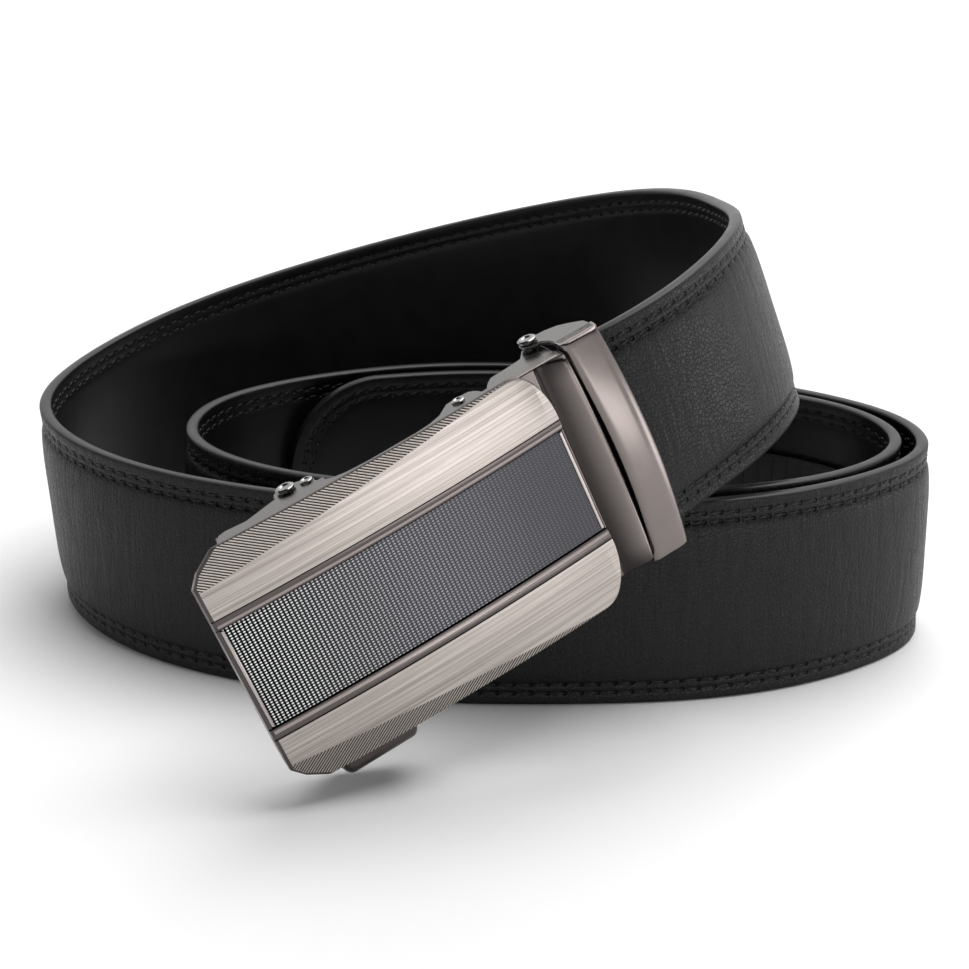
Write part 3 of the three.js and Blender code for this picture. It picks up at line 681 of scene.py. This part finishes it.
def makeClampArms():
    # the two arms that carry the bar back to the jaw's pin
    c = clampSet
    jx, jz = casingSet["jawPin"]
    left, right, top = c["left"], c["left"] + c["width"], c["endTop"] - 1
    leaf = arcPoints(jx, jz, 1.5, 110, 270, 10)
    leaf += [(left + 1.2, jz - 1.1), (left + 3.2, jz - 0.2), (left + 4.6, jz + 1.2),
             (right - 0.4, jz + 3.2), (right - 0.2, top), (left + 0.2, top),
             (left - 0.2, jz + 3.6), (left - 1.0, jz + 2.2)]
    arms = Shells()
    arms.slabAcross(leaf, c["armInner"], c["half"])
    arms.slabAcross(leaf, -c["half"], -c["armInner"])
    return arms


def makePin(x, z, seat, radius=0.8, head=1.5, thick=0.5):
    # a plain shank with two low heads, each with a raised ring round a dished middle
    inner, outer = seat + 0.3, seat + 0.3 + thick
    dome = [(outer - 0.26, 0.02), (outer - 0.24, head * 0.4), (outer - 0.04, head * 0.56),
            (outer, head * 0.68), (outer - 0.04, head * 0.84), (outer - 0.2, head),
            (inner, head), (inner, radius)]
    profile = [(-y, r) for y, r in dome] + [(y, r) for y, r in dome[::-1]]
    return Shells().turned(x, z, profile)


def makeRivets(spots, seat, head=1.05, thick=0.4):
    # low rivet heads on the outer faces of both side walls, dished like the pins
    rivets = Shells()
    profile = [(0, 0.02), (0, head), (thick - 0.12, head), (thick, head * 0.82), (thick, head * 0.62),
               (thick - 0.16, head * 0.4), (thick - 0.18, 0.02)]
    for x, z in spots:
        for side in (1, -1):
            rivets.turned(x, z, [(side * (seat + y), r) for y, r in profile], 24)
    return rivets


leverSet = dict(
    plateThick=1.1, reach=6.0, tail=12.4, armWidth=5.4, barrel=1.7, bore=1.05, pawl=1.5, half=17.25,
    tabInset=49.6, tabLength=13.2, tabInner=20.75, tabWidth=4.1, tabTop=3.4,
    tabRound=1.9, tabUnder=0.9, tabEnds=1.5, tabPull=1.1,  # roundings of the front, back and ends
)


def makeLeverPlate():
    # the sprung plate with its pawl, and the arm that reaches out to the tab
    c = leverSet
    px, pz = casingSet["leverPin"]
    back = pz - c["plateThick"]
    lever = Shells()
    lever.slabAcross([
        (px - c["tail"], back), (px + c["reach"], back), (px + c["reach"], pz + c["pawl"]),
        (px + c["reach"] - 0.7, pz + c["pawl"]), (px + c["reach"] - 1.3, pz), (px - c["tail"], pz)],
        -c["half"], c["half"])
    armLeft = px - c["tail"]
    lever.block((armLeft, armLeft + c["armWidth"]), (-c["tabInner"] - 1.2, -c["half"] + 1), (back, pz))
    return lever


def makeLeverBarrel():
    # a turned sleeve round the pin with chamfered ends
    c = leverSet
    px, pz = casingSet["leverPin"]
    h, r, bore, chamfer = c["half"], c["barrel"], c["bore"], 0.12
    profile = [(-h, bore), (-h, r - chamfer), (-h + chamfer, r),
               (h - chamfer, r), (h, r - chamfer), (h, bore)]
    return Shells().turned(px, pz, profile)


def makeThumbTab():
    # a rounded bar along the plate's lower side, its ends and outer edges rounded
    c = leverSet
    back = casingSet["leverPin"][1] - c["plateThick"]
    x1 = -c["tabInset"]
    x0 = x1 - c["tabLength"]
    inner, outer, top = c["tabInner"], c["tabInner"] + c["tabWidth"], c["tabTop"]
    rolled, under, ends = c["tabRound"], c["tabUnder"], c["tabEnds"]
    quarter = np.linspace(0, np.pi / 2, 8)
    x = np.r_[x0 + ends * (1 - np.cos(quarter)), np.linspace(x0 + 2.4, x1 - 2.4, 12),
              x1 - ends * (1 - np.cos(quarter[::-1]))]
    rings = []
    for at in x:
        end = min(at - x0, x1 - at)
        pull = ends - math.sqrt(max(0, ends ** 2 - max(0, ends - end) ** 2))
        pull = min(pull, c["tabPull"])
        ring = [(inner, back + pull)]
        for turn in np.radians([-80, -50, -20, 0]):
            ring.append((outer - pull - under + under * math.cos(turn),
                         back + pull + under + under * math.sin(turn)))
        for turn in np.radians([0, 22, 45, 68, 90]):
            ring.append((outer - pull - rolled + rolled * math.cos(turn),
                         top - pull - rolled + rolled * math.sin(turn)))
        ring.append((inner, top - pull))
        ring = np.array(ring)
        rings.append(np.c_[np.full(len(ring), at), -ring[:, 0], ring[:, 1]])
    return Shells().sleeve(rings)


# Finishes

leatherSet = dict(
    dark=0.0025, pale=0.0045, tint=(1, 0.97, 1.08), rim=0.013, rimTint=(1, 0.95, 0.88), hole=0.0015,
    rough=0.36, specular=0.24, pebbleScale=1450, pebbleDepth=0.12,
)


def leatherFinish():
    # pebbled, finely creased grain; a smooth lining; paler rims; a dented hole between each two stitches,
    # darkened with painted shade
    c = leatherSet
    b = Board("blackLeather")
    s, v, _ = b.parts(b.place("strapMap"))
    p, d, _ = b.parts(b.place("rowMap"))
    where = b.place()
    toLining, toRim = strapSet["liningMap"], strapSet["rimMap"]
    lining = (v > toLining - 0.02) * (v < toRim - 0.02)
    rim = v > toRim - 0.02
    grainSide = v < toLining - 0.02
    d = d - toLining * lining - toRim * rim
    p, d = p * 1000, d * 1000  # mm
    pitch = strapSet["stitchPitch"]
    phase = abs((p / pitch + 100.5).maths("FRACT") - 0.5) * pitch  # distance to the nearest hole
    hole = None
    for row in strapSet["stitchRows"]:
        near = (phase * phase * 1.4 + (d - row) * (d - row) * 2.2).maths("SQRT")
        one = 1 - near.soft(0.18, 0.62)
        hole = one if hole is None else hole.maths("MAXIMUM", one)
    hole = hole * (1 - rim)
    cells = b.add("ShaderNodeTexVoronoi", {"Vector": where, "Scale": c["pebbleScale"], "Randomness": 0.95},
                  feature="DISTANCE_TO_EDGE", out="Distance")
    pebble = cells.soft(0.0, 0.16)
    fine = b.noise(where, 5200.0, 2.0)
    crease = b.noise(b.vector(s * 520, v * 75), 1.0, 3.0, 0.55, 0.6).soft(0.36, 0.62)
    wave = b.noise(b.vector(s * 45, v * 30, 3.0), 1.0, 2.0)
    normal = b.bump(pebble * 0.45 + crease * 0.55, c["pebbleDepth"], 1.0)
    normal = b.bump(fine, 0.02, 0.5, normal)
    normal = b.bump(wave, 0.5, 0.35, normal)
    smooth = b.bump(b.noise(where, 900.0, 4.0), 0.02, 0.6)
    smooth = b.bump(wave, 0.4, 0.3, smooth)
    normalMix = b.add("ShaderNodeMix", {0: grainSide, 4: smooth, 5: normal}, out=1, data_type="VECTOR")
    normal = b.bump(1 - hole, 0.5, 0.9, normalMix)
    tone = b.noise(where, 260.0, 4.0).span(0.3, 0.7, 0.0, 1.0)
    colour = b.mix(tone, shade(c["dark"], c["tint"]), shade(c["pale"], c["tint"]))
    colour = b.mix(rim, colour, shade(c["rim"], c["rimTint"]))
    # painted shade in each stitch hole
    colour = b.mix(hole, colour, shade(c["hole"]))
    rough = c["rough"] + (1 - pebble) * 0.14 * grainSide + tone * 0.06
    rough = rough - lining * 0.02 - rim * 0.04
    return b.surface(Base_Color=colour, Roughness=rough, Normal=normal, Specular_IOR_Level=c["specular"])


def threadFinish():
    # waxed thread with slanting plies
    b = Board("blackThread")
    where = b.place()
    ply = b.add("ShaderNodeTexWave", {"Vector": where, "Scale": 900.0, "Distortion": 3.0},
                bands_direction="DIAGONAL")
    wax = b.noise(where, 400.0, 2.0)
    return b.surface(Base_Color=b.mix(wax, shade(0.004), shade(0.008)), Roughness=0.4,
                     Normal=b.bump(ply, 0.05, 0.6), Specular_IOR_Level=0.3)


def platedFinish():
    # brushed bands, hatched wedges, dark rails with a painted highlight along each crown, and lines, told
    # apart by the place on the face
    b = Board("brushedPewter")
    c = plateSet
    x, y, _ = b.parts(b.place("faceMap"))
    x, y = x * 1000, y * 1000
    ay = abs(y)
    run = (x + (c["inset"] + c["length"])) * (1 / c["length"])
    wedgeLine = run * ((c["half"] - c["wedgeStart"]) / c["wedgeEnd"]) + c["wedgeStart"]
    hatched = ay > wedgeLine
    railOuter = c["inlayHalf"] + c["railWidth"]
    rail = ay < railOuter - 0.02
    line = 1 - abs(ay - (railOuter + 0.06)).soft(0.06, 0.13)
    line = line.maths("MAXIMUM", 1 - abs(ay - c["inlayHalf"]).soft(0.06, 0.14))
    # a painted highlight along the crown of each rail
    railCrownHighlight = 1 - abs(ay - (c["inlayHalf"] + 0.62)).soft(0.12, 0.34)
    angle = math.radians(c["hatchAngle"])
    q = (x * math.sin(angle) + ay * math.cos(angle)) / c["hatchPitch"]
    tooth = abs((q + 500).maths("FRACT") - 0.5) * 2  # 0 in the cut, 1 on the ridge
    cut = tooth.soft(0.25, 0.75)
    broad = b.noise(b.vector(x * 0.012, y * 2.2, 1.0), 1.0, 4.0, 0.62)
    streak = b.noise(b.vector(x * 0.05, y * 14, 5.0), 1.0, 3.0, 0.6)
    hair = b.noise(b.vector(x * 0.16, y * 55, 9.0), 1.0, 2.0, 0.6)
    lines = broad * 0.5 + streak * 0.35 + hair * 0.15
    brushed = b.mix(lines.soft(0.36, 0.66), shade(0.25, (1, 0.88, 0.82)), shade(0.56, (1, 0.91, 0.85)))
    ridge = b.mix(cut, shade(0.025, (1, 0.9, 0.86)), shade(0.5, (1, 0.9, 0.83)))
    colour = b.mix(hatched, brushed, ridge)
    railTint = (1, 0.87, 0.84)
    railWithHighlight = b.mix(railCrownHighlight, shade(0.1, railTint), shade(0.34, railTint))
    colour = b.mix(rail, colour, railWithHighlight)
    outward = b.add("ShaderNodeTexCoord", out="Normal")
    facing = b.add("ShaderNodeVectorMath", {0: outward, 1: tuple(exitOutward)}, out="Value",
                   operation="DOT_PRODUCT")
    # half width over the left chamfers, the lesser of their two straight lines
    (run0, half0), (run1, half1), (run2, half2) = plateOutline[:3].tolist()
    steep, gentle = (half1 - half0) / (run1 - run0), (half2 - half1) / (run2 - run1)
    cornerLine = (run * steep + half0).maths("MINIMUM", run * gentle + (half1 - gentle * run1))
    # painted shade: the plate's edge strips and the faces sloping away from its front are darkened
    shadedBorder = (run < 0.009).maths("MAXIMUM", ay > cornerLine - 0.5)
    shadedBorder = shadedBorder.maths("MAXIMUM", facing < 0.75)  # the plate's edges are dark
    colour = b.mix(shadedBorder, colour, shade(0.08, (1, 0.88, 0.84)))
    colour = b.mix(line, colour, shade(0.004))
    rough = (lines * 0.22 + 0.22) * (1 - rail) + rail * 0.26
    rough = rough * (1 - line) + line * 0.6
    height = hatched * cut * (1 - shadedBorder)
    normal = b.bump((streak * 0.5 + hair * 0.3) * (1 - rail) * (1 - hatched), 0.03, 0.7)
    normal = b.bump(height, 0.16, 1.0, normal)
    return b.surface(Base_Color=colour, Metallic=1.0, Roughness=rough, Normal=normal)


wovenSet = dict(pitchAlong=0.66, pitchAcross=0.46, knobDepth=0.05)


def wovenFinish():
    # rows of knobs, a product of two cosines, with painted glints: pale knobs on dark at the left, fading to
    # the right into a dim even painted sheen
    w, c = wovenSet, plateSet
    b = Board("wovenSlate")
    x, y, _ = b.parts(b.place("faceMap"))
    across = (x * (1000 * 2 * math.pi / w["pitchAlong"])).maths("COSINE") * 0.5 + 0.5
    along = (y * (1000 * 2 * math.pi / w["pitchAcross"])).maths("COSINE") * 0.5 + 0.5
    knob = across * along
    gap = knob.soft(0.12, 0.75)
    patch = b.noise(b.vector(x * 40, y * 40, 2.0), 1.0, 1.0)
    run = (x * 1000 + (c["inset"] + c["length"])) * (1 / c["length"])
    # painted glints and sheen: bright knob tops at the left, dimming along the run into an even sheen
    glintFade, sheenFade = run.soft(0.04, 0.5), run.soft(0.45, 0.95)
    ground = b.mix(glintFade, shade(0.003, (0.95, 0.97, 1.1)), shade(0.058, (0.97, 0.97, 1.06)))
    dotGlints = b.mix(glintFade, shade(0.8), shade(0.34, (0.98, 0.97, 1.06)))
    dotGlints = b.mix(sheenFade, dotGlints, shade(0.11, (0.97, 0.97, 1.06)))
    colour = b.mix(gap, ground, dotGlints)
    normal = b.bump(knob, w["knobDepth"], 1.0)
    return b.surface(Base_Color=colour, Metallic=1.0, Roughness=patch * 0.1 + 0.32, Normal=normal)


def gunmetalFinish(name="satinGunmetal", level=0.13, rough=0.27, shadeSpan=None):
    # a clouded plating; shadeSpan holds two x values of the buckle's frame: painted shade darkens it towards
    # the first x and towards its two ends across
    b = Board(name)
    where = b.place()
    cloud = b.noise(where, 320.0, 3.0)
    grit = b.noise(where, 6000.0, 2.0)
    tint = (1, 0.87, 0.83)
    colour = b.mix(cloud, shade(level * 0.93, tint), shade(level * 1.07, tint))
    if shadeSpan:
        x, y, _ = b.parts(b.place("faceMap"))
        # painted shade: dark in the cove next to the plate and towards the neck's ends
        lit = (x * 1000).soft(*shadeSpan) * (1 - abs(y * 1000).soft(14.5, 18.6) * 0.75)
        colour = b.mix(lit, shade(level * 0.12, tint), colour)
    return b.surface(Base_Color=colour, Metallic=1.0, Roughness=cloud * 0.06 + (rough - 0.03),
                     Normal=b.bump(grit, 0.002, 0.25))


def steelFinish(name="polishedSteel", level=0.26, rough=0.16, tint=(1, 1, 0.98)):
    # a bright metal with faint smears
    b = Board(name)
    smear = b.noise(b.place(), 700.0, 3.0)
    return b.surface(Base_Color=b.mix(smear, shade(level * 0.94, tint), shade(level * 1.04, tint)),
                     Metallic=1.0, Roughness=smear * 0.08 + rough, Normal=b.bump(smear, 0.003, 0.4))


def trackFinish():
    # dull black plastic
    b = Board("blackTrack")
    pore = b.noise(b.place(), 1500.0, 3.0)
    return b.surface(Base_Color=b.mix(pore, shade(0.012), shade(0.02)), Roughness=pore * 0.1 + 0.33,
                     Normal=b.bump(pore, 0.01, 0.6))


leather, thread = leatherFinish(), threadFinish()
gunmetal, wallMetal = gunmetalFinish(), steelFinish("polishedWall", 0.13, 0.2, (1, 0.95, 0.92))
steel = steelFinish()
# the neck's gunmetal, with painted shade in its cove
neckShaded = gunmetalFinish("neckShadedGunmetal", 0.18, 0.27, (-10.4, -5.4))
barMetal, tabMetal = gunmetalFinish("barGunmetal", 0.2, 0.25), gunmetalFinish("tabGunmetal", 0.09, 0.22)
trimMetal = steelFinish("brightTrim", 0.42, 0.2, (1, 0.9, 0.86))

# Pieces

strap = finishPiece(makeStrap(), "belt", leather, ["strap"])
finishPiece(makeStitches(), "belt", thread)
print("strap and stitches made:", len(strap.data.polygons), "faces")

platedFace = platedFinish()
rivets = makeRivets(casingSet["rivets"], casingSet["wallOuter"])
jawPin = makePin(*casingSet["jawPin"], clampSet["half"])
leverPin = makePin(*casingSet["leverPin"], casingSet["wallOuter"])
bucklePieces = [  # name, shells, angle of sharp edges, body, slot, material, nodes, bevel, its segments
    ("brushedFacePlate", makeFacePlate(), 24, "belt", "brushed_face", platedFace, ["face_plate"], None, 2),
    ("wovenInlay", makeInlay(), 40, "belt", "woven_inlay", wovenFinish(), ["face_inlay"], 0.06, 2),
    ("inlayTrim", makeInlayTrim(), 40, "belt", "steel", trimMetal, [], 0.12, 2),
    ("casingBody", makeCasing(), 40, "belt", "gunmetal", gunmetal, ["casing"], 0.3, 3),
    ("casingNeck", makeNeck(), 30, "belt", "gunmetal", neckShaded, [], None, 2),
    ("casingWalls", makeWalls(), 40, "belt", "gunmetal", wallMetal, [], 0.12, 2),
    ("wallRivets", rivets, 30, "belt", "steel", steel, [], None, 2),
    ("clampBar", makeClampBar(), 30, "belt", "gunmetal", barMetal, ["clamp_loop"], None, 2),
    ("clampArms", makeClampArms(), 40, "belt", "gunmetal", wallMetal, [], 0.16, 2),
    ("jawPin", jawPin, 30, "belt", "steel", steel, ["jaw_pin"], None, 2),
    ("leverPin", leverPin, 30, "belt", "steel", steel, ["lever_pin"], None, 2),
    ("leverPlate", makeLeverPlate(), 40, "lever", "gunmetal", gunmetal, ["release_lever"], 0.15, 2),
    ("leverBarrel", makeLeverBarrel(), 30, "lever", "gunmetal", gunmetal, [], None, 2),
    ("thumbTab", makeThumbTab(), 30, "lever", "gunmetal", tabMetal, [], None, 2),
]
for name, shells, sharp, body, slot, material, nodes, bevel, segments in bucklePieces:
    finishPiece(buckleMesh(name, shells, sharp), body, material, nodes, bevel, segments)
for node, finish in (("ratchet_track", trackFinish()), ("clamp_jaw", steel)):
    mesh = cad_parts[node].data
    mesh.materials.clear()
    mesh.materials.append(finish)
print("buckle made")

# Floor, light and camera

stageSet = dict(
    floor=0.86, cove=0.72, world=0.03,
    camera=(1.378, -365.204, 160.0), tilt=70.0, lens=83.59, sensor=36.0,  # mm and degrees
)


def stageFloor():
    # a round floor that sweeps up into a pale cove: a profile of radius and height turned round the middle
    profile = np.array([(0.001, 0), (0.5, 0), (1.0, 0), (1.4, 0.015), (1.8, 0.07), (2.1, 0.17),
                        (2.4, 0.36), (2.6, 0.62), (2.7, 0.95), (2.72, 1.3)])
    sides = 96
    t = np.linspace(0, 2 * np.pi, sides, endpoint=False)
    rings = np.stack([profile[:, :1] * np.cos(t), profile[:, :1] * np.sin(t),
                      np.repeat(profile[:, 1:], sides, 1)], -1)
    faces = sleeveFaces(len(profile), sides, capped=False)
    obj = buildMesh("floor", rings.reshape(-1, 3), faces, unit=1)
    b = Board("paleFloor")
    x, y, _ = b.parts(b.place())
    far = (x * x + y * y).maths("SQRT").soft(0.6, 1.7)
    level = stageSet["floor"]
    obj.data.materials.append(b.surface(
        Base_Color=b.mix(far, shade(level), shade(0.3)), Roughness=0.9,
        Emission_Color=b.mix(far, shade(0.0), shade(stageSet["cove"])), Emission_Strength=1.0))


def areaLight(name, at, towards, size, power):
    # a rectangle that faces the second point; metres and watts
    data = bpy.data.lights.new(name, "AREA")
    data.shape, data.size, data.size_y = "RECTANGLE", size[0], size[1]
    data.energy = power
    obj = bpy.data.objects.new(name, data)
    bpy.context.scene.collection.objects.link(obj)
    direction = np.array(towards, float) - np.array(at, float)
    obj.location = at
    obj.rotation_euler = Vector(direction).to_track_quat("-Z", "Y").to_euler()


stageFloor()
world = bpy.data.worlds.new("studio")
bpy.context.scene.world = world
world.use_nodes = True
background = world.node_tree.nodes["Background"]
background.inputs[0].default_value = (1, 1, 1, 1)
background.inputs[1].default_value = stageSet["world"]
areaLight("overhead", (0.34, 0.25, 1.3), (0.18, 0.1, 0), (1.5, 1.2), 25)
areaLight("frontPanel", (0.185, -0.262, 0.034), (0.02, -0.044, 0.045), (0.15, 0.066), 0.095)
areaLight("rightPanel", (0.33, -0.03, 0.05), (0.04, -0.02, 0.05), (0.2, 0.1), 0.17)
areaLight("backWash", (0.0, 1.9, 1.3), (0, 1.9, 0), (3.0, 1.6), 26)

bpy.context.scene.view_settings.view_transform = "Standard"
camera = bpy.data.cameras.new("camera")
camera.lens, camera.sensor_width, camera.sensor_fit = stageSet["lens"], stageSet["sensor"], "HORIZONTAL"
camera.clip_start, camera.clip_end = 0.01, 50
viewer = bpy.data.objects.new("camera", camera)
viewer.location = [v * mm for v in stageSet["camera"]]
viewer.rotation_euler = (math.radians(stageSet["tilt"]), 0, 0)
bpy.context.scene.collection.objects.link(viewer)
bpy.context.scene.camera = viewer
